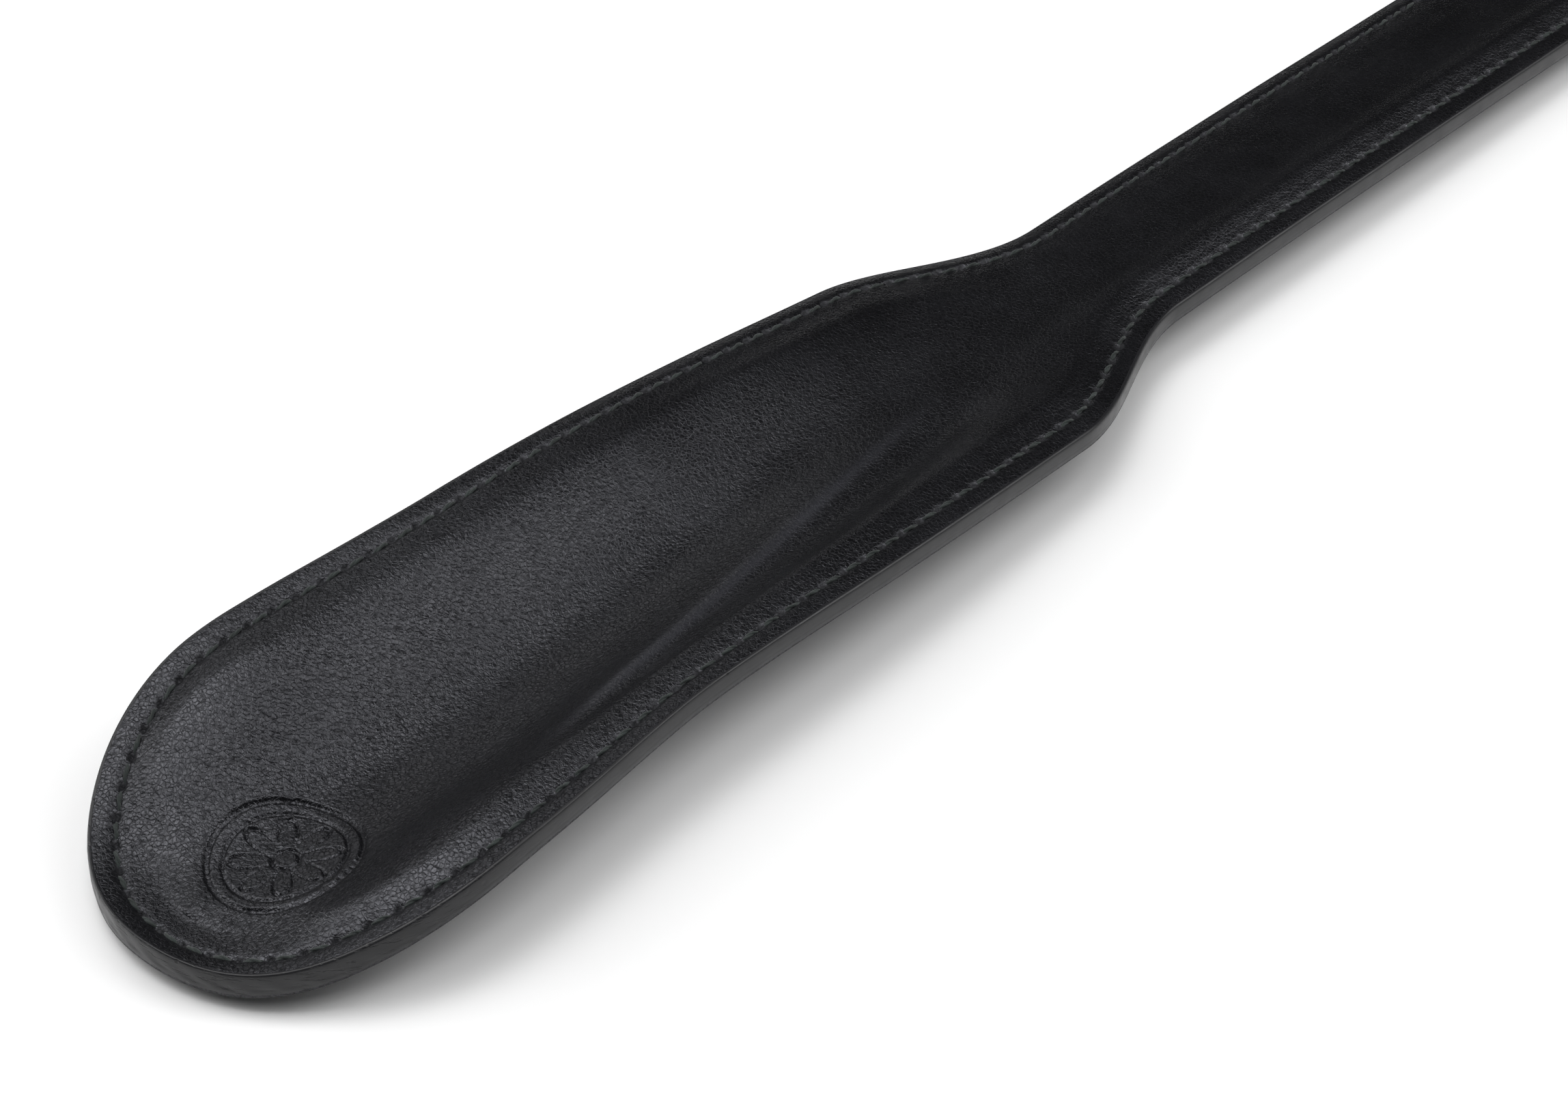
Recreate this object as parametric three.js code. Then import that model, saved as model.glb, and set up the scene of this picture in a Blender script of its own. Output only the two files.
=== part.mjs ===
// Long-handled, leather-covered shoehorn: a scooped spring-steel core between two stitched leather covers.
// Units are millimetres, +Z is up. x runs from the blade's tip to the handle's end, y across, and the
// object lies scoop side up on z = 0, touching it with the blade's belly and the last of the handle.
import * as THREE from 'three';
import { mergeVertices } from 'three/addons/utils/BufferGeometryUtils.js';

// ---- outline, seen from above --------------------------------------------------------------------
const overallLength = 505;
const noseLength = 30;            // elliptical tip, from the tip to the widest point
const noseHalfWidth = 25.5;
const bladeHalfWidth = 23.6;      // sides of the blade behind the nose
const shoulderHalfWidth = 21;   // where the blade starts to draw in
const handleHalfWidth = 12.4;
const noseBlend = [30, 64];       // x range over which the nose's extra width fades
const shoulderBlend = [83, 160];  // x range over which the sides draw in to the shoulder
const neckBlend = [129, 160];     // x range of the S-shaped neck

// ---- side view: the centreline of the glue plane between the covers ------------------------------
const restingHeight = 1.7;        // glue plane above the floor where the underside touches it
const neckHeight = 7.5;           // glue plane above the floor at the neck
const lipHeight = 2;           // how far the tip turns up
const lipLength = 12;
const bladeRise = [12, 143];      // x range over which the blade climbs to the neck
const handleFall = [165, 470];    // x range over which the handle comes down to the floor

// ---- cross-section: the scoop and the margins ----------------------------------------------------
const scoopDepth = 9;
const scoopHalfWidth = 21.5;
const scoopRise = 35;             // x at which the scoop reaches its full depth
const scoopFade = [54, 157];      // x range over which it runs out into the neck
const rimShare = 0.1;            // part of the profile that keeps sloping at the rim
const tipDroop = -0.15;           // slope of the margin, down towards the edge; the tip's turns up
const handleDroop = 0.2;
const droopBlend = [40, 100];
const undersideDroopShare = 0.6;

// ---- layers --------------------------------------------------------------------------------------
const seamInset = 2.9;            // stitch line, from the cut edge
const coreInset = 6.4;            // steel core's edge, from the cut edge
const paddingInset = 7.6;
const grooveHalfWidth = 0.6;
const grooveDepth = 0.45;         // the thread lies in a pressed groove
const layerGap = 0.15;
const coreThickness = 0.9;
const coreDrop = 0.35;            // core's underside, below the glue plane
const paddingThickness = 0.6;
const marginUpper = 1.5;          // upper cover's top face at the margin, above the glue plane
const marginLower = 1.35;         // lower cover's bottom face at the margin, below the glue plane
const tipBuild = 0.4;             // the edge is thicker at the tip
const tipBuildLength = 40;
const coverThickness = 1.2;       // over the core
const threadRadius = 0.3;
const threadSides = 4;

// Smooth step from 0 to 1 as x goes through range.
function smooth(x, range) {
  const t = THREE.MathUtils.clamp((x - range[0]) / (range[1] - range[0]), 0, 1);
  return t * t * (3 - 2 * t);
}

// Half the width of the object at x.
function halfWidth(x) {
  if (x < noseLength) {
    return noseHalfWidth * Math.sqrt(1 - ((noseLength - x) / noseLength) ** 2);
  }
  const endCentre = overallLength - handleHalfWidth;
  if (x > endCentre) {
    return Math.sqrt(Math.max(0, handleHalfWidth ** 2 - (x - endCentre) ** 2));
  }
  const nose = (noseHalfWidth - bladeHalfWidth) * (1 - smooth(x, noseBlend));
  const side = (bladeHalfWidth - shoulderHalfWidth) * (1 - smooth(x, shoulderBlend));
  const neck = (shoulderHalfWidth - handleHalfWidth) * (1 - smooth(x, neckBlend));
  return nose + side + neck + handleHalfWidth;
}

// Height of the glue plane on the centreline.
function centreHeight(x) {
  const lip = lipHeight * Math.max(0, 1 - x / lipLength) ** 2;
  const climb = smooth(x, bladeRise) - smooth(x, handleFall);
  return restingHeight + lip + (neckHeight - restingHeight) * climb;
}

// Depth of the scoop from its rims to its middle.
function scoopAt(x) {
  const rise = Math.sin((Math.PI / 2) * Math.min(x / scoopRise, 1));
  return scoopDepth * rise * (1 - smooth(x, scoopFade));
}

// Height of the glue plane at (x, y), before the margins droop.
function gluePlane(x, y) {
  const u = Math.abs(y) / scoopHalfWidth;
  const wave = (1 - Math.cos(Math.PI * Math.min(u, 1))) / 2;
  return centreHeight(x) + scoopAt(x) * (rimShare * u * u + (1 - rimShare) * wave);
}

// How far the margin has dropped, at a distance inset from the cut edge.
function droop(x, inset) {
  const slope = tipDroop + (handleDroop - tipDroop) * smooth(x, droopBlend);
  return slope * Math.max(0, seamInset - inset);
}

// 0 outside the seam, 1 over the core.
function overCore(inset) {
  return smooth(inset, [seamInset + grooveHalfWidth / 2, coreInset]);
}

function groove(inset) {
  return grooveDepth * Math.max(0, 1 - Math.abs(inset - seamInset) / grooveHalfWidth);
}

// Heights of each layer's faces. Every function takes a point { x, y, inset }.
const paddingTop = -coreDrop + coreThickness + layerGap + paddingThickness;
const innerUpperTop = paddingTop + layerGap + coverThickness;
const innerLowerBottom = restingHeight;

function upperTop(p) {
  const margin = marginUpper - droop(p.x, p.inset) - groove(p.inset);
  return gluePlane(p.x, p.y) + THREE.MathUtils.lerp(margin, innerUpperTop, overCore(p.inset));
}

function upperBottom(p) {
  const margin = layerGap / 2 - undersideDroopShare * droop(p.x, p.inset);
  const inner = paddingTop + layerGap;
  return gluePlane(p.x, p.y) + THREE.MathUtils.lerp(margin, inner, overCore(p.inset));
}

function lowerTop(p) {
  const margin = -layerGap / 2 - undersideDroopShare * droop(p.x, p.inset);
  const inner = -coreDrop - layerGap;
  return gluePlane(p.x, p.y) + THREE.MathUtils.lerp(margin, inner, overCore(p.inset));
}

function lowerBottom(p) {
  const build = tipBuild * (1 - smooth(p.x, [0, tipBuildLength]));
  const drop = undersideDroopShare * droop(p.x, p.inset);
  const margin = marginLower + build + drop - groove(p.inset);
  return gluePlane(p.x, p.y) - THREE.MathUtils.lerp(margin, innerLowerBottom, overCore(p.inset));
}

function coreBottom(p) {
  return gluePlane(p.x, p.y) - coreDrop;
}

function coreTop(p) {
  return coreBottom(p) + coreThickness;
}

function paddingBottom(p) {
  return coreTop(p) + layerGap;
}

function paddingTopAt(p) {
  return paddingBottom(p) + paddingThickness;
}

// ---- the mesh of stations and columns that every layer shares --------------------------------------
// x of each station: close together round the two ends and through the neck.
function stationPositions() {
  const xs = [];
  const noseSteps = 8;
  for (let i = 0; i < noseSteps; i += 1) {
    xs.push(noseLength * (1 - Math.cos((Math.PI / 2) * (i / noseSteps))));
  }
  const spans = [[noseLength, 120, 9], [120, 160, 7], [160, 300, 6], [300, 470, 6], [470, 492.6, 1]];
  for (const [from, to, steps] of spans) {
    for (let i = 0; i < steps; i += 1) {
      xs.push(from + ((to - from) * i) / steps);
    }
  }
  const endSteps = 6;
  for (let i = 0; i <= endSteps; i += 1) {
    xs.push(overallLength - handleHalfWidth * (1 - Math.sin((Math.PI / 2) * (i / endSteps))));
  }
  return xs;
}

// Edge point and inward normal of each station, on the +y side.
function edgeStations() {
  const edge = stationPositions().map((x) => new THREE.Vector2(x, halfWidth(x)));
  return edge.map((point, i) => {
    if (i === 0) {
      return { point, inward: new THREE.Vector2(1, 0) };
    }
    if (i === edge.length - 1) {
      return { point, inward: new THREE.Vector2(-1, 0) };
    }
    const along = edge[i + 1].clone().sub(edge[i - 1]).normalize();
    return { point, inward: new THREE.Vector2(along.y, -along.x) };
  });
}

const stations = edgeStations();

// Point of a station at a distance inset from the cut edge.
function insetPoint(station, inset) {
  const y = Math.max(0, station.point.y + station.inward.y * inset);
  return { x: station.point.x + station.inward.x * inset, y, inset };
}

// One station's row of points, from firstInset to the centreline.
const marginInsets = [0, seamInset - grooveHalfWidth, seamInset, seamInset + grooveHalfWidth, 4.9];
const innerShares = [0.75, 0.5, 0.25, 0];

function stationRow(station, firstInset) {
  const insets = [...marginInsets, coreInset, paddingInset].filter((inset) => inset >= firstInset);
  const row = insets.map((inset) => insetPoint(station, inset));
  const last = row[row.length - 1];
  for (const share of innerShares) {
    row.push({ x: last.x, y: last.y * share, inset: paddingInset + last.y * (1 - share) });
  }
  return row;
}

// A closed solid between two height functions, out to firstInset from the cut edge.
function layerGeometry(firstInset, topHeight, bottomHeight) {
  const rows = stations.map((station) => stationRow(station, firstInset));
  const columns = rows[0].length;
  const positions = [];
  const corner = (side, top, i, j) => {
    const p = rows[i][j];
    return [p.x, side * p.y, top ? topHeight(p) : bottomHeight(p)];
  };
  const triangle = (a, b, c) => positions.push(...a, ...b, ...c);
  // Both windings split a quad along the same diagonal, so that neighbouring layers stay parallel.
  const quad = ([a, b, c, d], facesOut) => {
    triangle(a, facesOut ? b : c, facesOut ? c : b);
    triangle(a, facesOut ? c : d, facesOut ? d : c);
  };
  for (const side of [1, -1]) {
    for (let i = 0; i + 1 < rows.length; i += 1) {
      for (let j = 0; j + 1 < columns; j += 1) {
        for (const top of [true, false]) {
          const ring = [corner(side, top, i, j), corner(side, top, i, j + 1),
            corner(side, top, i + 1, j + 1), corner(side, top, i + 1, j)];
          quad(ring, top === side > 0);
        }
      }
      const wall = [corner(side, true, i, 0), corner(side, true, i + 1, 0),
        corner(side, false, i + 1, 0), corner(side, false, i, 0)];
      quad(wall, side > 0);
    }
  }
  return closedGeometry(positions);
}

// Merge shared vertices and drop triangles that have collapsed to a line.
function closedGeometry(positions) {
  const soup = new THREE.BufferGeometry();
  soup.setAttribute('position', new THREE.Float32BufferAttribute(positions, 3));
  const merged = mergeVertices(soup, 1e-4);
  const index = merged.getIndex().array;
  const kept = [];
  for (let i = 0; i < index.length; i += 3) {
    const [a, b, c] = [index[i], index[i + 1], index[i + 2]];
    if (a !== b && b !== c && c !== a) {
      kept.push(a, b, c);
    }
  }
  merged.setIndex(kept);
  merged.computeVertexNormals();
  return merged;
}

// A thread that follows the whole stitch line, lying in the groove of one face.
function threadGeometry(faceHeight, outward) {
  const half = stations.map((station) => ({ station, p: insetPoint(station, seamInset) }));
  const path = [];
  for (const side of [1, -1]) {
    const run = side > 0 ? half.slice(0, -1) : half.slice(1).reverse();
    for (const { station, p } of run) {
      const lift = outward * (threadRadius + layerGap);
      const centre = new THREE.Vector3(p.x, side * p.y, faceHeight(p) + lift);
      path.push({ centre, across: new THREE.Vector3(station.inward.x, side * station.inward.y, 0) });
    }
  }
  const ring = ({ centre, across }) => Array.from({ length: threadSides }, (_, k) => {
    const angle = (2 * Math.PI * k) / threadSides;
    const point = centre.clone().addScaledVector(across, threadRadius * Math.cos(angle));
    point.z += threadRadius * Math.sin(angle);
    return point.toArray();
  });
  const rings = path.map(ring);
  const positions = [];
  rings.forEach((current, i) => {
    const next = rings[(i + 1) % rings.length];
    current.forEach((point, k) => {
      const after = (k + 1) % threadSides;
      positions.push(...point, ...next[k], ...next[after]);
      positions.push(...point, ...next[after], ...current[after]);
    });
  });
  return closedGeometry(positions);
}

function finish(color, roughness, metalness) {
  return new THREE.MeshStandardMaterial({ color, roughness, metalness });
}

const shoehorn = new THREE.Group();
shoehorn.position.x = -overallLength / 2;

function addPart(name, geometry, material) {
  const mesh = new THREE.Mesh(geometry, material);
  mesh.name = name;
  shoehorn.add(mesh);
}

addPart('steel_core', layerGeometry(coreInset, coreTop, coreBottom), finish(0x8e9196, 0.35, 1));
addPart('padding_sheet', layerGeometry(paddingInset, paddingTopAt, paddingBottom), finish(0x5c4a38, 0.95, 0));
addPart('upper_leather', layerGeometry(0, upperTop, upperBottom), finish(0x16161a, 0.45, 0));
addPart('lower_leather', layerGeometry(0, lowerTop, lowerBottom), finish(0x141418, 0.5, 0));
addPart('upper_thread', threadGeometry(upperTop, 1), finish(0x1d2624, 0.7, 0));
addPart('lower_thread', threadGeometry(lowerBottom, -1), finish(0x1d2624, 0.7, 0));

export default shoehorn;
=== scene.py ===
"""Long leather-covered shoehorn, scoop side up on a white table.

The shape functions work in millimetres, with x from the blade's tip to the handle's end, y across and z up
from the table. Left is +y. to_frame() turns their results into the frame's metres.
"""
import bpy
import math
import numpy as np
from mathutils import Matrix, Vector


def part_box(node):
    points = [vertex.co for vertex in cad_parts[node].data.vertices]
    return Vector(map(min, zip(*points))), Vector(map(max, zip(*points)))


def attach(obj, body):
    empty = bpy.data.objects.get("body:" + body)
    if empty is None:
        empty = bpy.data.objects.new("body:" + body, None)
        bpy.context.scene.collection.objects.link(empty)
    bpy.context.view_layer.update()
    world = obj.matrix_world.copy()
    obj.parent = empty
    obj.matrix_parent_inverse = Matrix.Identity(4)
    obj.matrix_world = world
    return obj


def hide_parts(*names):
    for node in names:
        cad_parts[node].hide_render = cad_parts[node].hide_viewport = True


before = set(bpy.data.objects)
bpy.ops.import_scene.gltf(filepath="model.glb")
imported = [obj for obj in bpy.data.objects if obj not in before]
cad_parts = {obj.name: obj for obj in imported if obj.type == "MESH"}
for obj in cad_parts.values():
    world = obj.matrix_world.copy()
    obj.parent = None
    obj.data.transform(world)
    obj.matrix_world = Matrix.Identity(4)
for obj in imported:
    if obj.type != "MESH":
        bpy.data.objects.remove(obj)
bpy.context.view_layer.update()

MM = 0.001
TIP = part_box("upper_leather")[0].x                      # the tip's place on X, in metres
LENGTH = (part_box("upper_leather")[1].x - TIP) / MM      # overall length
NOSE_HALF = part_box("upper_leather")[1].y / MM           # half width at the widest point
rng = np.random.default_rng(7)                          # small differences from stitch to stitch

# ---- driving dimensions, as in the CAD model -----------------------------------------------------
# A pair of numbers is a span, from where a change starts to where it is complete.
NOSE_LENGTH, BLADE_HALF, SHOULDER_HALF, HANDLE_HALF = 30.0, 23.6, 21.0, 12.4
NOSE_BLEND, SHOULDER_BLEND, NECK_BLEND = (30, 64), (83, 160), (129, 160)
RESTING_HEIGHT, NECK_HEIGHT = 1.7, 7.5                  # of the glue plane, at both ends and at the neck
LIP_HEIGHT, LIP_LENGTH = 2.0, 12.0                      # the tip turns up a little
BLADE_RISE, HANDLE_FALL = (12, 143), (165, 470)
SCOOP_DEPTH, SCOOP_HALF, SCOOP_RISE, SCOOP_FADE = 9.0, 21.5, 35.0, (54, 157)
RIM_SHARE = 0.1                                         # how much of the scoop is a plain parabola
TIP_DROOP, HANDLE_DROOP, DROOP_BLEND = -0.15, 0.2, (40, 100)    # slope of the margin outside the stitch line
UNDER_DROOP = 0.6                                       # how much of that slope the faces below follow
SEAM, CORE_EDGE = 2.9, 6.4                              # insets of the stitch line and of the steel core
MARGIN_UPPER, MARGIN_LOWER = 1.5, 1.35                  # thickness of each cover outside the stitch line
TIP_BUILD, TIP_BUILD_LENGTH = 0.4, 40                   # the lower cover is thicker at the tip
INNER_UPPER, INNER_UPPER_BOTTOM = 2.65, 1.45            # the upper cover's two faces over core and felt
INNER_LOWER, INNER_LOWER_TOP = RESTING_HEIGHT, -0.5
LAYER_GAP = 0.15

# ---- how the upper leather lies over the padding -------------------------------------------------
SWELL_START = SEAM + 0.2                                # inset where it starts to rise
SWELL_LEFT, SWELL_RIGHT = 8.6, 7.4                      # inset where it has risen, on the blade
SWELL_HANDLE_LEFT, SWELL_HANDLE_RIGHT = 9.5, 6.6        # the same on the handle
SWELL_FRONT, SWELL_TIGHT = 8.0, 1.2                     # more at the nose's front, less at its sides
HANDLE_SINK = 0.65                                      # the handle's face lies lower on its left and middle
WALL_SINK = 0.75                                        # the scoop's right wall hangs low on its inner half
CREASE_START, CREASE_END = (44, -15.3), (124, -3.5)     # the long fold runs straight between these
CREASE_HEIGHT, VALLEY_DEPTH = 0.62, 1.15
CREASE_SHIFT = 1.1                                      # the ridge's top, to the left of the painted highlight line

# ---- sewing, cut edge and stamped mark -----------------------------------------------------------
NOMINAL_PITCH = 3.4                                     # one stitch
GROOVE_DEPTH, GROOVE_WIDTH = 0.26, 0.42
HOLE_DEPTH, HOLE_RADIUS = 0.42, 0.42
STITCH_SPAN, STITCH_SLANT = (0.12, 0.88), 0.34          # the part of its pitch that a stitch covers
STITCH_DIP, STITCH_LIFT = -0.50, 0.10                   # its height at its ends and its middle
STITCH_POINTS = 13
PLY_RADIUS, PLY_SWING, PLY_SIDES = 0.19, 0.12, 7
CROWN, ARRIS, ARRIS_DROP = 0.08, 0.3, 0.16              # plumpness of the margin; rounding of the cut edge
MARK_CENTRE, MARK_RADIUS, MARK_DEPTH = (18.6, -2.0), 8.4, 0.42

# The painted edge's section, from the top face round the outside to the bottom face. Each point is its inset
# from the outline, its share of the way down from the top face to the bottom face, and a small lift.
EDGE_SECTION = (
    (0.40, 0, 0.012), (0.24, 0, 0.02), (0.11, 0, -0.02), (0.02, 0, -0.12), (-0.04, 0.08, 0),
    (-0.075, 0.18, 0), (-0.095, 0.32, 0), (-0.10, 0.46, 0), (-0.095, 0.57, 0), (-0.083, 0.61, 0),
    (-0.09, 0.65, 0), (-0.07, 0.76, 0), (0.0, 0.87, 0), (0.12, 0.95, 0), (0.24, 1, 0.03),
    (0.40, 1, -0.01), (0.55, 1, -0.012), (0.55, 0.5, 0),
)
WORN_POINTS = range(5, 12)                              # the section's points that are dented near the tip

# ---- mesh density --------------------------------------------------------------------------------
# Columns across a cover: insets on the sewn margin, then shares of the way out from the centreline.
MARGIN_INSETS = [0.0, 0.12, 0.3, 0.7, 1.2, 1.7, 2.1, 2.4, 2.6, 2.75,
                 2.9, 3.05, 3.2, 3.4, 3.7, 4.2, 4.8, 5.6, 6.4]
UPPER_SHARES = np.concatenate([np.linspace(1.0, 0.5, 22)[1:], np.linspace(0.5, 0.0, 56)[1:]]).tolist()
LOWER_SHARES = np.linspace(1.0, 0.0, 16)[1:].tolist()

# ---- camera and light, in metres and degrees -----------------------------------------------------
LENS = 78.4
CAMERA_FROM_TIP = (-0.1373, -0.2174, 0.2587)
# Azimuths and CAMERA_TURN go from +X towards +Y; CAMERA_DOWN is below the horizon.
CAMERA_DOWN, CAMERA_TURN = 39.13, 42.63
LIT_POINT, LIGHT_DISTANCE = Vector((-0.17, 0, 0)), 1.3
SOFT_BOXES = (                                          # name, azimuth, elevation, size, watts
    ("overhead", 135, 76, 0.6, 5.3),
    ("overhead_right", 42, 76, 0.6, 3.0),
    ("left_low", 118, 14, 0.6, 4.2),
    ("far_left", 128, 48, 0.7, 4.6),
    ("far_low", 70, 30, 0.6, 1.1),
    ("right_high", -50, 55, 0.6, 3.3),
    ("right_low", -40, 32, 0.6, 4.3),
    ("camera_side", 224, 66, 0.7, 3.6),
)
WORLD_STRENGTH = 0.03
TABLE_HALF, TABLE_HEIGHT = 3, -0.00005


# ---- shape ---------------------------------------------------------------------------------------
def smooth(x, span):
    """0 before the span and 1 after it, with level ends."""
    t = np.clip((x - span[0]) / (span[1] - span[0]), 0, 1)
    return t * t * (3 - 2 * t)


def mix(a, b, t):
    return a + (b - a) * t


def bell(x, width):
    return np.exp(-(x / width) ** 2)


def half_width(x):
    """Half the width of the outline: a round nose, a waisted neck and a round end."""
    nose = (NOSE_HALF - BLADE_HALF) * (1 - smooth(x, NOSE_BLEND))
    side = (BLADE_HALF - SHOULDER_HALF) * (1 - smooth(x, SHOULDER_BLEND))
    neck = (SHOULDER_HALF - HANDLE_HALF) * (1 - smooth(x, NECK_BLEND))
    body = nose + side + neck + HANDLE_HALF
    tip = NOSE_HALF * np.sqrt(np.clip(1 - ((NOSE_LENGTH - x) / NOSE_LENGTH) ** 2, 0, 1))
    end = np.sqrt(np.clip(HANDLE_HALF ** 2 - (x - (LENGTH - HANDLE_HALF)) ** 2, 0, None))
    return np.where(x < NOSE_LENGTH, tip, np.where(x > LENGTH - HANDLE_HALF, end, body))


def glue_plane(x, y):
    """Height of the curved surface where the two covers are glued together."""
    lip = LIP_HEIGHT * np.maximum(0, 1 - x / LIP_LENGTH) ** 2
    climb = smooth(x, BLADE_RISE) - smooth(x, HANDLE_FALL)
    centre = RESTING_HEIGHT + lip + (NECK_HEIGHT - RESTING_HEIGHT) * climb
    rise = np.sin(math.pi / 2 * np.clip(x / SCOOP_RISE, 0, 1))
    scoop = SCOOP_DEPTH * rise * (1 - smooth(x, SCOOP_FADE))
    u = np.abs(y) / SCOOP_HALF
    wave = (1 - np.cos(math.pi * np.minimum(u, 1))) / 2
    return centre + scoop * (RIM_SHARE * u * u + (1 - RIM_SHARE) * wave)


def droop(x, inset):
    slope = TIP_DROOP + (HANDLE_DROOP - TIP_DROOP) * smooth(x, DROOP_BLEND)
    return slope * np.maximum(0, SEAM - inset)


def over_core(inset):
    return smooth(inset, (SEAM + 0.3, CORE_EDGE))


def groove(inset):
    return GROOVE_DEPTH * bell(inset - SEAM, GROOVE_WIDTH)


def crown(inset):
    """The margin between stitch line and edge is a little plump."""
    return CROWN * np.sin(math.pi * np.clip(inset / SEAM, 0, 1))


def rounding(inset):
    """How far the cut edge's corner is taken down."""
    return ARRIS_DROP * np.clip(1 - inset / ARRIS, 0, 1) ** 2


def holes(inset, along):
    """Dents where the needle went through, at both ends of each stitch."""
    off = ((along / PITCH + 0.5) % 1.0 - 0.5) * PITCH
    return HOLE_DEPTH * np.exp(-(off ** 2 + (inset - SEAM) ** 2) / HOLE_RADIUS ** 2)


def crease_path(x, y):
    """How far a point is across the fold, to the left of it, and how much of the fold there is at x."""
    run = (x - CREASE_START[0]) / (CREASE_END[0] - CREASE_START[0])
    centre = mix(CREASE_START[1], CREASE_END[1], run)
    strength = smooth(x, (40, 62)) * (1 - 0.3 * smooth(x, (92, 110))) * (1 - smooth(x, (106, 126)))
    return (y - centre) * 0.97, strength


def crease(x, y):
    """The long soft fold in the leather on the right of the scoop, with a hollow beside it."""
    across, strength = crease_path(x, y)
    across = across - CREASE_SHIFT
    ridge = CREASE_HEIGHT * bell(across, np.where(across < 0, 1.6, 6.0))
    widening = smooth(x, (55, 110))
    valley = bell(across + 3.4 + 2.0 * widening, 2.2 + 1.0 * widening)
    lasting = smooth(x, (40, 62)) * (1 - smooth(x, (112, 142)))
    return strength * ridge - VALLEY_DEPTH * lasting * valley


def painted_fold_highlight(x, y):
    """How much painted highlight lies along the fold: a paler colour standing in for light caught on the
    ridge's flank.
    """
    across, strength = crease_path(x, y)
    return strength * bell(across, np.where(across < 0, 0.75, 1.05))


def over_padding(x, y, inset):
    """0 on the sewn margin and 1 over the padding; quick at the nose's sides, slow at its front."""
    side = np.abs(y)
    front = SWELL_FRONT * (1 - smooth(x, (8, 20))) * (1 - smooth(side, (8, 17)))
    tight = SWELL_TIGHT * (1 - smooth(x, (18, 40))) * smooth(side, (9, 17))
    left = smooth(y, (-4, 4))
    blade = mix(SWELL_RIGHT, SWELL_LEFT, left * smooth(x, (20, 45))) + front - tight
    handle = mix(SWELL_HANDLE_RIGHT, SWELL_HANDLE_LEFT, left)
    return smooth(inset, (SWELL_START, mix(blade, handle, smooth(x, (120, 150)))))


def settled(x, y):
    """The scoop's right wall hangs low on its inner half; the handle's face rises to the right."""
    low = WALL_SINK * smooth(x, (6, 24)) * (1 - smooth(x, (66, 100))) * bell(y + 10.5, 4.6)
    sunk = HANDLE_SINK * smooth(x, (112, 150)) * (1 - smooth(-y, (1.5, 8)))
    return -low - sunk


def waviness(x, y):
    """Slow unevenness of hand-laid leather."""
    return (0.05 * np.sin(x / 7.3 + 0.8 * np.sin(y / 6.0)) * np.cos(y / 8.1 + 1.3)
            + 0.035 * np.sin(x / 3.9 + y / 5.2 + 2.0))


def line_mask(distance, width):
    return smooth(-np.abs(distance), (-width, -width * 0.45))


def stamped_mark(x, y):
    """A plain eight-leaved rosette in two rings, pressed into the leather near the tip."""
    dx, dy = x - MARK_CENTRE[0], y - MARK_CENTRE[1]
    radius, angle = np.hypot(dx, dy), np.arctan2(dy, dx)
    outer = line_mask(radius - MARK_RADIUS, 0.44)
    inner = 0.7 * line_mask(radius - MARK_RADIUS * 0.80, 0.30)
    petal = MARK_RADIUS * 0.72 * np.abs(np.cos(4 * angle)) ** 0.6
    petals = line_mask(radius - petal, 0.36) * (radius > 1.6)
    centre = line_mask(radius - 1.5, 0.3)
    return MARK_DEPTH * np.maximum.reduce([outer, inner, petals, centre])


def upper_top(x, y, inset, along):
    pressed = groove(inset) + holes(inset, along) + rounding(inset)
    margin = MARGIN_UPPER - droop(x, inset) - pressed + crown(inset)
    base = glue_plane(x, y) + mix(margin, INNER_UPPER, over_padding(x, y, inset))
    inside = smooth(inset, (4.5, 9.0))
    return base + inside * (crease(x, y) + settled(x, y) + waviness(x, y)) - stamped_mark(x, y)


def upper_bottom(x, y, inset, along):
    margin = LAYER_GAP / 2 - UNDER_DROOP * droop(x, inset)
    return glue_plane(x, y) + mix(margin, INNER_UPPER_BOTTOM, over_core(inset))


def lower_top(x, y, inset, along):
    margin = -LAYER_GAP / 2 - UNDER_DROOP * droop(x, inset)
    return glue_plane(x, y) + mix(margin, INNER_LOWER_TOP, over_core(inset))


def lower_bottom(x, y, inset, along):
    build = TIP_BUILD * (1 - smooth(x, (0, TIP_BUILD_LENGTH)))
    pressed = groove(inset) + holes(inset, along) + rounding(inset)
    margin = MARGIN_LOWER + build + UNDER_DROOP * droop(x, inset) - pressed
    return glue_plane(x, y) - mix(margin, INNER_LOWER, over_core(inset))


# ---- the outline as stations along the stitch line -----------------------------------------------
def outline():
    """Points and inward normals of the left half of the edge, tip to end, and the seam's length at each."""
    nose = NOSE_LENGTH * (1 - np.cos(np.linspace(0, math.pi / 2, 900)))
    body = np.linspace(NOSE_LENGTH, LENGTH - HANDLE_HALF, 6000)[1:]
    end = LENGTH - HANDLE_HALF * (1 - np.sin(np.linspace(0, math.pi / 2, 500)))[1:]
    x = np.concatenate([nose, body, end])
    edge = np.stack([x, half_width(x)], 1)
    tangent = np.gradient(edge, axis=0)
    tangent /= np.linalg.norm(tangent, axis=1)[:, None]
    tangent[0], tangent[-1] = (0, 1), (0, -1)
    inward = np.stack([tangent[:, 1], -tangent[:, 0]], 1)
    seam = edge + SEAM * inward
    length = np.concatenate([[0], np.cumsum(np.linalg.norm(np.diff(seam, axis=0), axis=1))])
    return edge, inward, length


EDGE, INWARD, SEAM_LENGTH = outline()
STITCHES_PER_SIDE = round(SEAM_LENGTH[-1] / NOMINAL_PITCH)
PITCH = SEAM_LENGTH[-1] / STITCHES_PER_SIDE             # so that whole stitches fit


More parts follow.
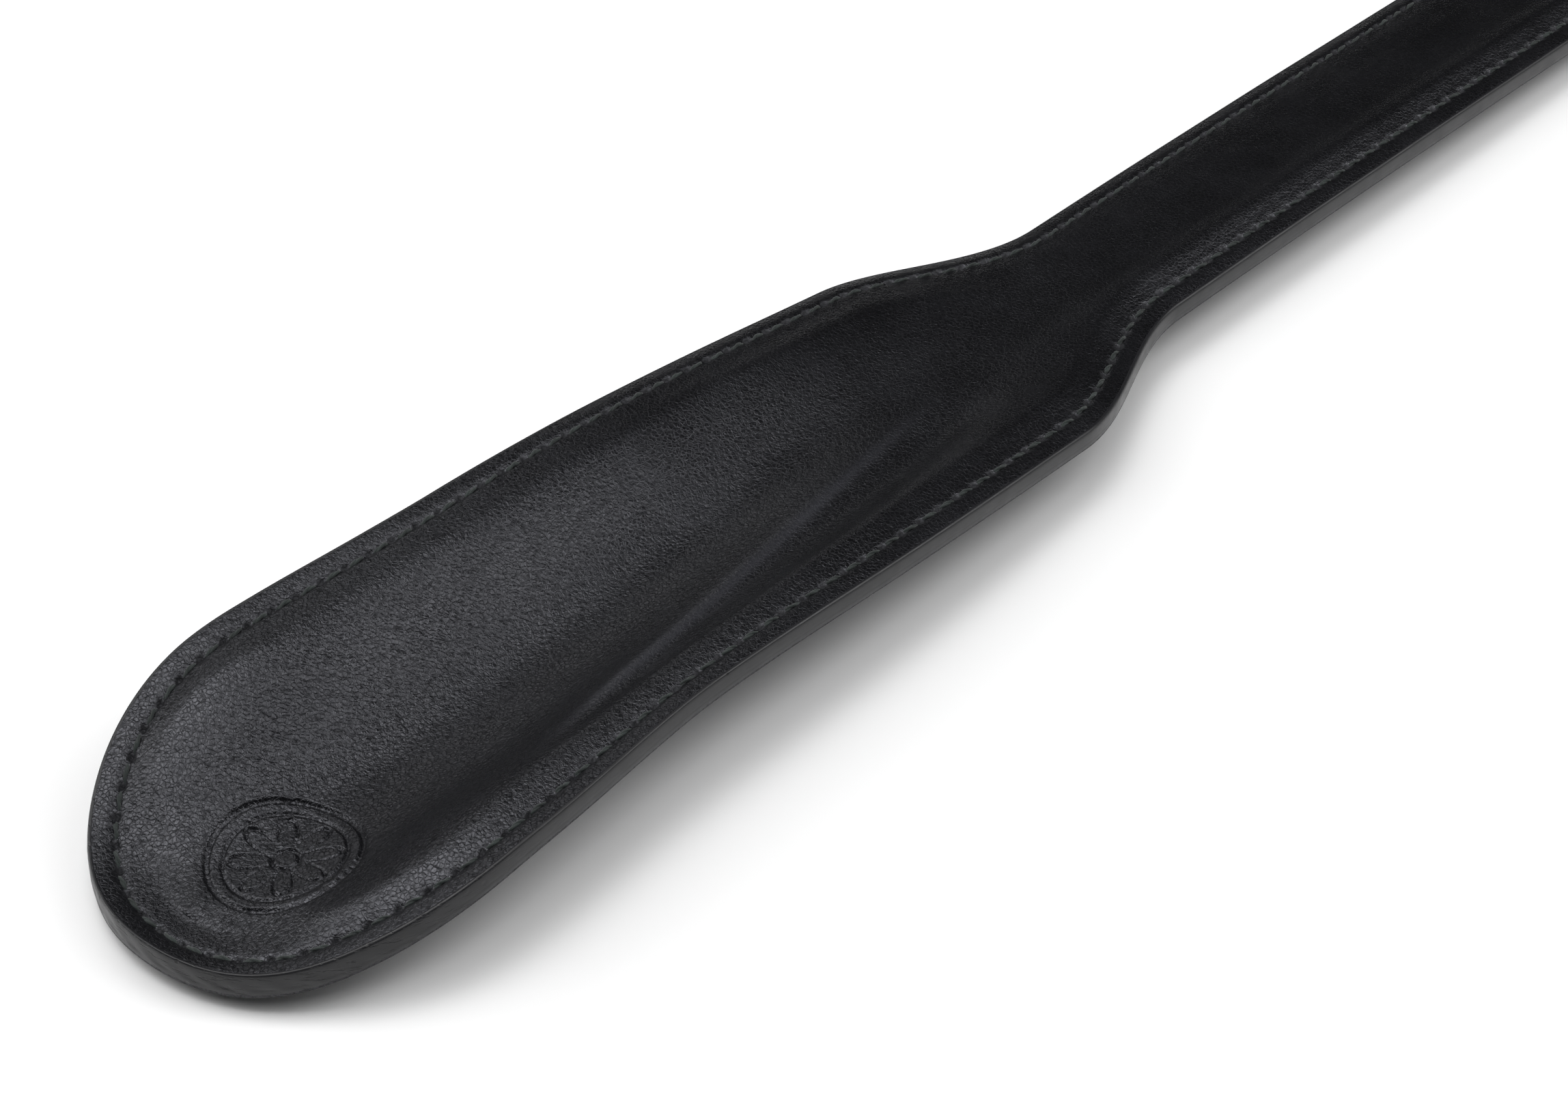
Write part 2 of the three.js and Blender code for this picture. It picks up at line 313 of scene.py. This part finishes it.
def stations(steps):
    """Edge points and inward normals at the given seam lengths."""
    edge = np.stack([np.interp(steps, SEAM_LENGTH, EDGE[:, k]) for k in (0, 1)], 1)
    inward = np.stack([np.interp(steps, SEAM_LENGTH, INWARD[:, k]) for k in (0, 1)], 1)
    inward /= np.linalg.norm(inward, axis=1)[:, None]
    return edge, inward


def row_steps(fine, coarse):
    """Seam lengths of the rows, whole parts of a stitch: fine beside the stamped mark, coarse elsewhere."""
    edges = [0.0, 6 * PITCH, 15 * PITCH, SEAM_LENGTH[-1]]
    parts = []
    for start, stop, count in zip(edges, edges[1:], (2 * coarse, fine, coarse)):
        parts.append(np.arange(round((stop - start) / PITCH * count)) * PITCH / count + start)
    return np.concatenate(parts + [[SEAM_LENGTH[-1]]])


def grid(steps, margins, shares):
    """x, y, inset and seam length on the left half; rows go along the seam, columns from edge to centre."""
    edge, inward = stations(steps)
    columns = []
    for inset in margins:
        p = edge + inset * inward
        columns.append((p[:, 0], np.maximum(p[:, 1], 0), np.full(len(steps), float(inset))))
    x, y, last = columns[-1]
    for share in shares:
        columns.append((x, y * share, last + y * (1 - share)))
    table = np.stack([np.stack(c, 1) for c in columns], 1)
    return table[..., 0], table[..., 1], table[..., 2], np.repeat(steps[:, None], table.shape[1], 1)


# ---- meshes --------------------------------------------------------------------------------------
def to_frame(points):
    out = np.asarray(points, float) * MM
    out[:, 0] += TIP
    return out


def mesh_object(name, points, faces, material, attributes=None):
    mesh = bpy.data.meshes.new(name)
    mesh.from_pydata(to_frame(points).tolist(), [], faces)
    mesh.validate()
    mesh.polygons.foreach_set("use_smooth", [True] * len(mesh.polygons))
    for key, values in (attributes or {}).items():
        layer = mesh.attributes.new(key, "FLOAT", "POINT")
        layer.data.foreach_set("value", np.asarray(values, np.float32))
    mesh.materials.append(material)
    piece = bpy.data.objects.new(name, mesh)
    bpy.context.scene.collection.objects.link(piece)
    return piece


def strip_faces(ids, flip):
    """Quads between neighbouring rows and columns of vertex numbers; collapsed corners are dropped."""
    a, b, c, d = ids[:-1, :-1], ids[:-1, 1:], ids[1:, 1:], ids[1:, :-1]
    quads = np.stack([a, d, c, b] if flip else [a, b, c, d], -1).reshape(-1, 4)
    plain = (quads[:, 0] != quads[:, 1]) & (quads[:, 1] != quads[:, 2]) & (quads[:, 2] != quads[:, 3])
    plain &= (quads[:, 3] != quads[:, 0]) & (quads[:, 0] != quads[:, 2]) & (quads[:, 1] != quads[:, 3])
    faces = quads[plain].tolist()
    for quad in quads[~plain].tolist():
        kept = [v for k, v in enumerate(quad) if v != quad[k - 1]]
        if len(set(kept)) == len(kept) >= 3:
            faces.append(kept)
    return faces


def leather_sheet(steps, margins, shares, height, highlight_shown):
    """One face of a cover: its points, their numbers from left edge to right edge, and their attributes."""
    x, y, inset, along = grid(steps, margins, shares)
    count, inner = x.shape[1], len(margins) - 1
    left = np.arange(x.size).reshape(x.shape)
    right = left + x.size
    ids = np.concatenate([left, right[:, :-1][:, ::-1]], 1)
    for row in (0, -1):                                 # the two halves meet at the tip and at the end
        ids[row, inner:count] = ids[row, inner]
        ids[row, count:] = ids[row, :count - 1][::-1]
    points, fold_highlight = [], []
    for side in (1, -1):
        z = height(x, side * y, inset, along)
        points.append(np.stack([x, side * y, z], -1).reshape(-1, 3))
        # The painted highlight along the fold, on the upper face only.
        fold_highlight.append(painted_fold_highlight(x, side * y).ravel() * highlight_shown)
    attributes = {"seam_inset": np.tile(inset.ravel(), 2), "seam_along": np.tile(along.ravel(), 2),
                  "fold_highlight": np.concatenate(fold_highlight)}
    return np.concatenate(points), ids, attributes


def cover_mesh(name, steps, shares, face_height, back_height, faces_up, material):
    """A leather cover: a fine face, a coarser back inside the sandwich, and the cut edge between them."""
    few_insets, few_shares = MARGIN_INSETS[::3], shares[4::5]
    if few_shares[-1] > 0:
        few_shares = few_shares + [0.0]
    face_points, face, face_attributes = leather_sheet(steps, MARGIN_INSETS, shares, face_height, faces_up)
    back_points, back, back_attributes = leather_sheet(steps, few_insets, few_shares, back_height, faces_up)
    back += len(face_points)
    faces = strip_faces(face, not faces_up) + strip_faces(back, faces_up)
    for column in (0, -1):
        wall = np.stack([face[:, column], back[:, column]], 1)
        faces += strip_faces(wall, (column == 0) == faces_up)
    points = np.concatenate([face_points, back_points])
    used = np.unique([v for corners in faces for v in corners])
    renumber = np.full(len(points), -1)
    renumber[used] = np.arange(len(used))
    faces = [[int(renumber[v]) for v in corners] for corners in faces]
    attributes = {}
    for key in face_attributes:
        attributes[key] = np.concatenate([face_attributes[key], back_attributes[key]])[used]
    return mesh_object(name, points[used], faces, material, attributes)


def edge_ring_half(edge, inward, along, side):
    """One side's points of the painted edge, each section from the top face round to the bottom face."""
    mid_stitch = np.full(len(along), 0.5 * PITCH)
    worn = 1 - smooth(edge[:, 0], (10, 40))
    ring = []
    for k, (inset, share, lift) in enumerate(EDGE_SECTION):
        swell = 0.012 * np.sin(along / 5.3 + 0.3 * k)
        swell += 0.03 * worn * np.sin(along * 1.9 + k * 0.9) * (k in WORN_POINTS)
        p = edge + inward * (inset + swell)[:, None]
        depth = np.full(len(along), max(inset, 0.0))
        top = upper_top(p[:, 0], p[:, 1], depth, mid_stitch) + rounding(depth)
        low = lower_bottom(p[:, 0], p[:, 1], depth, mid_stitch) - rounding(depth)
        ring.append(np.stack([p[:, 0], side * p[:, 1], mix(top, low, share) + lift], -1))
    return np.stack(ring, 1)


def edge_band(material):
    """The painted edge that closes the sandwich all round, a little uneven, with dents near the tip."""
    steps = row_steps(5, 5)
    edge, inward = stations(steps)
    back = slice(-2, 0, -1)                             # the right side runs back, without both ends
    left = edge_ring_half(edge, inward, steps, 1)
    right = edge_ring_half(edge[back], inward[back], -steps[back], -1)
    rings = np.concatenate([left, right], 0)
    ids = np.arange(rings.shape[0] * len(EDGE_SECTION)).reshape(-1, len(EDGE_SECTION))
    ids = np.concatenate([ids, ids[:1]], 0)
    ids = np.concatenate([ids, ids[:, :1]], 1)
    return mesh_object("edge_band", rings.reshape(-1, 3), strip_faces(ids, True), material)


def tube(path, up, radius, sides, taper):
    """Vertices and faces of a closed tube along path, narrowing at its two ends."""
    tangent = np.gradient(path, axis=0)
    tangent /= np.linalg.norm(tangent, axis=1)[:, None]
    across = np.cross(tangent, up)
    across /= np.linalg.norm(across, axis=1)[:, None]
    lift = np.cross(across, tangent)
    turn = np.linspace(0, 2 * math.pi, sides, endpoint=False)
    size = radius * taper[:, None, None]
    ring = (path[:, None] + size * (np.cos(turn)[None, :, None] * across[:, None]
                                    + np.sin(turn)[None, :, None] * lift[:, None]))
    ids = np.arange(len(path) * sides).reshape(len(path), sides)
    ids = np.concatenate([ids, ids[:, :1]], 1)
    faces = strip_faces(ids, False)
    faces.append(list(range(sides))[::-1])
    faces.append([(len(path) - 1) * sides + k for k in range(sides)])
    return ring.reshape(-1, 3), faces


def stitch_row(name, face_height, outward, material):
    """Every stitch of one face: two plies laid together, dipping into a needle hole at each end."""
    points, faces = [], []
    steps = np.linspace(0, 1, STITCH_POINTS)
    arch = np.sin(math.pi * steps) ** 0.6
    taper = np.clip(arch * 1.6, 0.55, 1.0)
    up = np.array([0.0, 0.0, outward])
    on_seam, mid_stitch = np.full(STITCH_POINTS, SEAM), np.full(STITCH_POINTS, 0.5 * PITCH)
    for side in (1, -1):
        for number in range(STITCHES_PER_SIDE):
            shift, tilt, rise = rng.normal(0, 0.06, 3)
            along = (number + mix(*STITCH_SPAN, steps)) * PITCH + shift
            edge, inward = stations(np.clip(along, 0, SEAM_LENGTH[-1]))
            inset = SEAM + (0.5 - steps) * (STITCH_SLANT + tilt)
            flat = edge + inward * inset[:, None]
            ground = face_height(flat[:, 0], side * flat[:, 1], on_seam, mid_stitch)
            height = ground + outward * mix(STITCH_DIP, STITCH_LIFT + 0.3 * rise, arch)
            middle = np.stack([flat[:, 0], side * flat[:, 1], height], -1)
            across = np.stack([inward[:, 0], side * inward[:, 1], np.zeros(STITCH_POINTS)], -1)
            twist = steps * math.pi * 1.7 + number * 0.6
            for ply in (0, math.pi):
                sideways = np.cos(twist + ply)[:, None] * across
                upwards = np.sin(twist + ply)[:, None] * up * 0.7
                path = middle + PLY_SWING * (sideways + upwards)
                ring, ring_faces = tube(path, up, PLY_RADIUS, PLY_SIDES, taper)
                base = len(points)
                points.extend(ring.tolist())
                faces.extend([[v + base for v in corners] for corners in ring_faces])
    return mesh_object(name, np.array(points), faces, material)


# ---- materials -----------------------------------------------------------------------------------
class Nodes:
    """A short way to write a node material. Sizes are in millimetres."""

    def __init__(self, name):
        self.material = bpy.data.materials.new(name)
        self.material.use_nodes = True
        self.tree = self.material.node_tree
        self.shader = self.tree.nodes["Principled BSDF"]
        self.place = self.add("ShaderNodeTexCoord").outputs["Object"]

    def add(self, kind, **settings):
        node = self.tree.nodes.new(kind)
        for key, value in settings.items():
            setattr(node, key, value)
        return node

    def put(self, value, socket):
        if isinstance(value, bpy.types.NodeSocket):
            self.tree.links.new(value, socket)
        else:
            socket.default_value = value

    def set(self, **values):
        for key, value in values.items():
            self.put(value, self.shader.inputs[key.replace("_", " ")])

    def math(self, operation, a, b=0.0, clamp=False):
        node = self.add("ShaderNodeMath", operation=operation, use_clamp=clamp)
        self.put(a, node.inputs[0])
        self.put(b, node.inputs[1])
        return node.outputs[0]

    def remap(self, value, low, high, to_low, to_high):
        node = self.add("ShaderNodeMapRange")
        for socket, number in zip(node.inputs, (value, low, high, to_low, to_high)):
            self.put(number, socket)
        return node.outputs[0]

    def blend(self, factor, a, b):
        node = self.add("ShaderNodeMix", data_type="RGBA")
        self.put(factor, node.inputs[0])
        self.put(a, node.inputs[6])
        self.put(b, node.inputs[7])
        return node.outputs[2]

    def noise(self, size, detail=3.0, roughness=0.55, place=None, output="Fac"):
        node = self.add("ShaderNodeTexNoise")
        self.put(place or self.place, node.inputs["Vector"])
        node.inputs["Scale"].default_value = 1 / (size * MM)
        node.inputs["Detail"].default_value = detail
        node.inputs["Roughness"].default_value = roughness
        return node.outputs[output]

    def cells(self, size, feature="F1", place=None):
        node = self.add("ShaderNodeTexVoronoi", feature=feature)
        self.put(place or self.place, node.inputs["Vector"])
        node.inputs["Scale"].default_value = 1 / (size * MM)
        return node.outputs["Distance"]

    def along_x(self):
        split = self.add("ShaderNodeSeparateXYZ")
        self.put(self.place, split.inputs[0])
        return split.outputs["X"]

    def scaled(self, x, y, z):
        """The place with its three directions scaled, for streaky patterns."""
        node = self.add("ShaderNodeMapping")
        self.put(self.place, node.inputs["Vector"])
        node.inputs["Scale"].default_value = (x, y, z)
        return node.outputs["Vector"]

    def wobbled(self, size, reach):
        """The place pushed about by noise, so that cells lose their straight sides."""
        node = self.add("ShaderNodeVectorMath", operation="MULTIPLY_ADD")
        self.put(self.noise(size, 2.0, 0.5, output="Color"), node.inputs[0])
        node.inputs[1].default_value = (reach * MM,) * 3
        self.put(self.place, node.inputs[2])
        return node.outputs[0]

    def attribute(self, name):
        return self.add("ShaderNodeAttribute", attribute_name=name).outputs["Fac"]

    def bump(self, height, distance, below=None):
        node = self.add("ShaderNodeBump")
        node.inputs["Strength"].default_value = 1.0
        node.inputs["Distance"].default_value = distance * MM
        self.put(height, node.inputs["Height"])
        if below is not None:
            self.put(below, node.inputs["Normal"])
        return node.outputs["Normal"]


def calf_grain(n, highlight_mask):
    """Height of the small grain cells, weaker away from the tip, and the finer creases between them."""
    place = n.wobbled(0.7, 0.4)
    pebbles = n.math("MULTIPLY", n.cells(0.46, "SMOOTH_F1", place), -1.6)
    veins = n.remap(n.cells(0.50, "DISTANCE_TO_EDGE", place), 0.0, 0.16, 0.0, 1.0)
    fine = n.noise(0.14, 2.0, 0.6)
    near_tip = n.remap(n.along_x(), TIP + 0.02, TIP + 0.12, 1.0, 0.55)
    patch = n.math("MULTIPLY", n.remap(n.noise(14.0, 2.0), 0.35, 0.65, 0.7, 1.0), near_tip)
    grain = n.math("ADD", pebbles, n.math("MULTIPLY", veins, 0.5))
    grain = n.math("MULTIPLY", n.math("ADD", grain, n.math("MULTIPLY", fine, 0.6)), patch)
    # The grain is shallower under the painted highlight along the fold.
    smoothed = n.math("SUBTRACT", 1.0, n.math("MULTIPLY", highlight_mask, 0.5))
    return n.math("MULTIPLY", grain, smoothed), veins


def needle_hole(n):
    """1 in the needle holes at the ends of the stitches and 0 away from them; it places the painted shade in
    the holes.
    """
    along = n.math("DIVIDE", n.attribute("seam_along"), PITCH)
    off = n.math("SUBTRACT", n.math("FRACT", n.math("ADD", along, 0.5)), 0.5)
    off = n.math("MULTIPLY", off, PITCH)
    side = n.math("SUBTRACT", n.attribute("seam_inset"), SEAM)
    reach = n.math("SQRT", n.math("ADD", n.math("POWER", off, 2.0), n.math("POWER", side, 2.0)))
    return n.remap(reach, 0.36, 0.66, 1.0, 0.0)


def leather_material(name, base, roughness):
    """Black box calf: grain, a satin polish, a painted highlight as a paler tone along the fold, and painted
    shade as black in the needle holes.
    """
    n = Nodes(name)
    # The mask of the painted highlight along the fold.
    highlight_mask = n.attribute("fold_highlight")
    grain, veins = calf_grain(n, highlight_mask)
    hole = needle_hole(n)
    worn = tuple(c * 1.9 for c in base[:3]) + (1,)
    colour = n.blend(n.remap(n.noise(11.0, 3.0), 0.35, 0.7, 0.0, 0.5), base, worn)
    # Painted highlight: the paler colour along the fold stands in for light caught on the ridge's flank.
    colour = n.blend(highlight_mask, colour, (0.019, 0.0193, 0.0225, 1))
    # Painted shade: the needle holes are coloured black for the shade inside them.
    colour = n.blend(hole, colour, (0.001, 0.001, 0.001, 1))
    polish = n.remap(n.noise(9.0, 4.0, 0.6), 0.3, 0.7, roughness - 0.04, roughness + 0.06)
    polish = n.math("ADD", polish, n.math("MULTIPLY", n.math("SUBTRACT", 1.0, veins), 0.12))
    polish = n.math("ADD", polish, n.math("MULTIPLY", hole, 0.4), True)
    normal = n.bump(n.noise(6.0, 3.0), 0.05, n.bump(grain, 0.062))
    n.set(Base_Color=colour, Roughness=polish, Normal=normal)
    n.set(Specular_IOR_Level=n.remap(grain, -0.75, 0.15, 0.15, 0.56))
    n.set(Specular_Tint=(0.96, 0.97, 1.06, 1))
    return n.material


def edge_material():
    """Painted and burnished cut edge: smooth, with a few pinholes and drips."""
    n = Nodes("edge_paint")
    worn = n.remap(n.along_x(), TIP + 0.012, TIP + 0.040, 1.0, 0.0)
    pits = n.math("MULTIPLY", n.remap(n.cells(1.9), 0.05, 0.2, 1.0, 0.0), worn)
    slits = n.remap(n.noise(1.2, 3.0, 0.6, n.scaled(0.5, 0.5, 2.6)), 0.56, 0.66, 0.0, 1.0)
    specks = n.remap(n.cells(4.5), 0.03, 0.07, 1.0, 0.0)
    flow = n.noise(2.4, 2.0, 0.5, n.scaled(0.4, 0.4, 1.6))
    dents = n.math("ADD", pits, n.math("MULTIPLY", n.math("MULTIPLY", slits, worn), 0.8))
    height = n.math("SUBTRACT", n.math("MULTIPLY", flow, 0.5), n.math("ADD", dents, specks))
    tint = n.blend(n.noise(3.0), (0.008, 0.008, 0.009, 1), (0.016, 0.016, 0.018, 1))
    n.set(Base_Color=n.blend(specks, tint, (0.001, 0.001, 0.001, 1)),
          Roughness=n.remap(n.noise(2.2), 0.3, 0.7, 0.30, 0.40), Normal=n.bump(height, 0.06))
    n.set(Specular_IOR_Level=0.36)
    return n.material


def thread_material():
    """Waxed thread: fine fibres and a soft sheen."""
    n = Nodes("waxed_thread")
    fibres = n.noise(0.12, 2.0, 0.6)
    shade = n.remap(n.noise(2.4), 0.35, 0.65, 0, 1)
    n.set(Base_Color=n.blend(shade, (0.006, 0.010, 0.009, 1), (0.015, 0.022, 0.020, 1)),
          Roughness=n.remap(fibres, 0.3, 0.7, 0.6, 0.8), Normal=n.bump(fibres, 0.05))
    n.set(Specular_IOR_Level=0.3, Sheen_Weight=0.25)
    return n.material


def steel_material():
    n = Nodes("spring_steel")
    brushed = n.noise(0.4, 4.0, 0.6, n.scaled(0.05, 1, 1))
    n.set(Base_Color=n.blend(brushed, (0.42, 0.43, 0.45, 1), (0.60, 0.61, 0.63, 1)),
          Roughness=n.remap(brushed, 0.3, 0.7, 0.28, 0.42), Normal=n.bump(brushed, 0.02))
    n.set(Metallic=1.0)
    return n.material


def felt_material():
    n = Nodes("grey_felt")
    fibres = n.noise(0.5, 5.0, 0.7)
    n.set(Base_Color=n.blend(fibres, (0.10, 0.09, 0.08, 1), (0.22, 0.20, 0.17, 1)),
          Roughness=n.remap(fibres, 0.3, 0.7, 0.85, 0.98), Normal=n.bump(fibres, 0.2))
    return n.material


# ---- pieces --------------------------------------------------------------------------------------
def build_pieces():
    leather = leather_material("black_box_calf", (0.0027, 0.0027, 0.0032, 1), 0.26)
    lining = leather_material("black_lining_calf", (0.0050, 0.0048, 0.0052, 1), 0.45)
    thread = thread_material()
    upper = cover_mesh("upper_cover", row_steps(20, 6), UPPER_SHARES, upper_top, upper_bottom, True, leather)
    lower = cover_mesh("lower_cover", row_steps(6, 6), LOWER_SHARES, lower_bottom, lower_top, False, lining)
    band = edge_band(edge_material())
    upper_row = stitch_row("upper_stitches", upper_top, 1, thread)
    lower_row = stitch_row("lower_stitches", lower_bottom, -1, thread)
    for piece, node, slot in ((upper, "upper_leather", "black_leather"),
                              (lower, "lower_leather", "black_leather"),
                              (upper_row, "upper_thread", "thread"),
                              (lower_row, "lower_thread", "thread")):
        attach(piece, "root")
        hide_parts(node)
    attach(band, "root")
    for node, material in (("steel_core", steel_material()), ("padding_sheet", felt_material())):
        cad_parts[node].data.materials.clear()
        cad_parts[node].data.materials.append(material)


# ---- camera, table and light ---------------------------------------------------------------------
def place_camera():
    camera_data = bpy.data.cameras.new("camera")
    camera_data.lens = LENS
    camera = bpy.data.objects.new("camera", camera_data)
    camera.location = Vector((TIP, 0, 0)) + Vector(CAMERA_FROM_TIP)
    camera.rotation_euler = (math.radians(90 - CAMERA_DOWN), 0, math.radians(CAMERA_TURN - 90))
    bpy.context.scene.collection.objects.link(camera)
    bpy.context.scene.camera = camera


def lay_table():
    material = bpy.data.materials.new("white_table")
    material.use_nodes = True
    shader = material.node_tree.nodes["Principled BSDF"]
    shader.inputs["Base Color"].default_value = (0.93, 0.93, 0.93, 1)
    shader.inputs["Roughness"].default_value = 0.8
    around = ((-1, -1), (1, -1), (1, 1), (-1, 1))
    corners = [(x * TABLE_HALF, y * TABLE_HALF, TABLE_HEIGHT) for x, y in around]
    mesh = bpy.data.meshes.new("table")
    mesh.from_pydata(corners, [], [(0, 1, 2, 3)])
    mesh.materials.append(material)
    table = bpy.data.objects.new("table", mesh)
    bpy.context.scene.collection.objects.link(table)


def soft_box(name, azimuth, elevation, size, watts):
    """A square area light that looks at the lit point from a direction."""
    a, e = math.radians(azimuth), math.radians(elevation)
    away = Vector((math.cos(e) * math.cos(a), math.cos(e) * math.sin(a), math.sin(e)))
    light = bpy.data.lights.new(name, "AREA")
    light.size = size
    light.energy = watts
    lamp = bpy.data.objects.new(name, light)
    lamp.location = LIT_POINT + away * LIGHT_DISTANCE
    lamp.rotation_euler = (-away).to_track_quat("-Z", "Y").to_euler()
    bpy.context.scene.collection.objects.link(lamp)


def light_studio():
    world = bpy.data.worlds.new("studio")
    world.use_nodes = True
    background = world.node_tree.nodes["Background"]
    background.inputs["Color"].default_value = (1, 1, 1, 1)
    background.inputs["Strength"].default_value = WORLD_STRENGTH
    bpy.context.scene.world = world
    bpy.context.scene.view_settings.view_transform = "Standard"
    for box in SOFT_BOXES:
        soft_box(*box)


build_pieces()
place_camera()
lay_table()
light_studio()
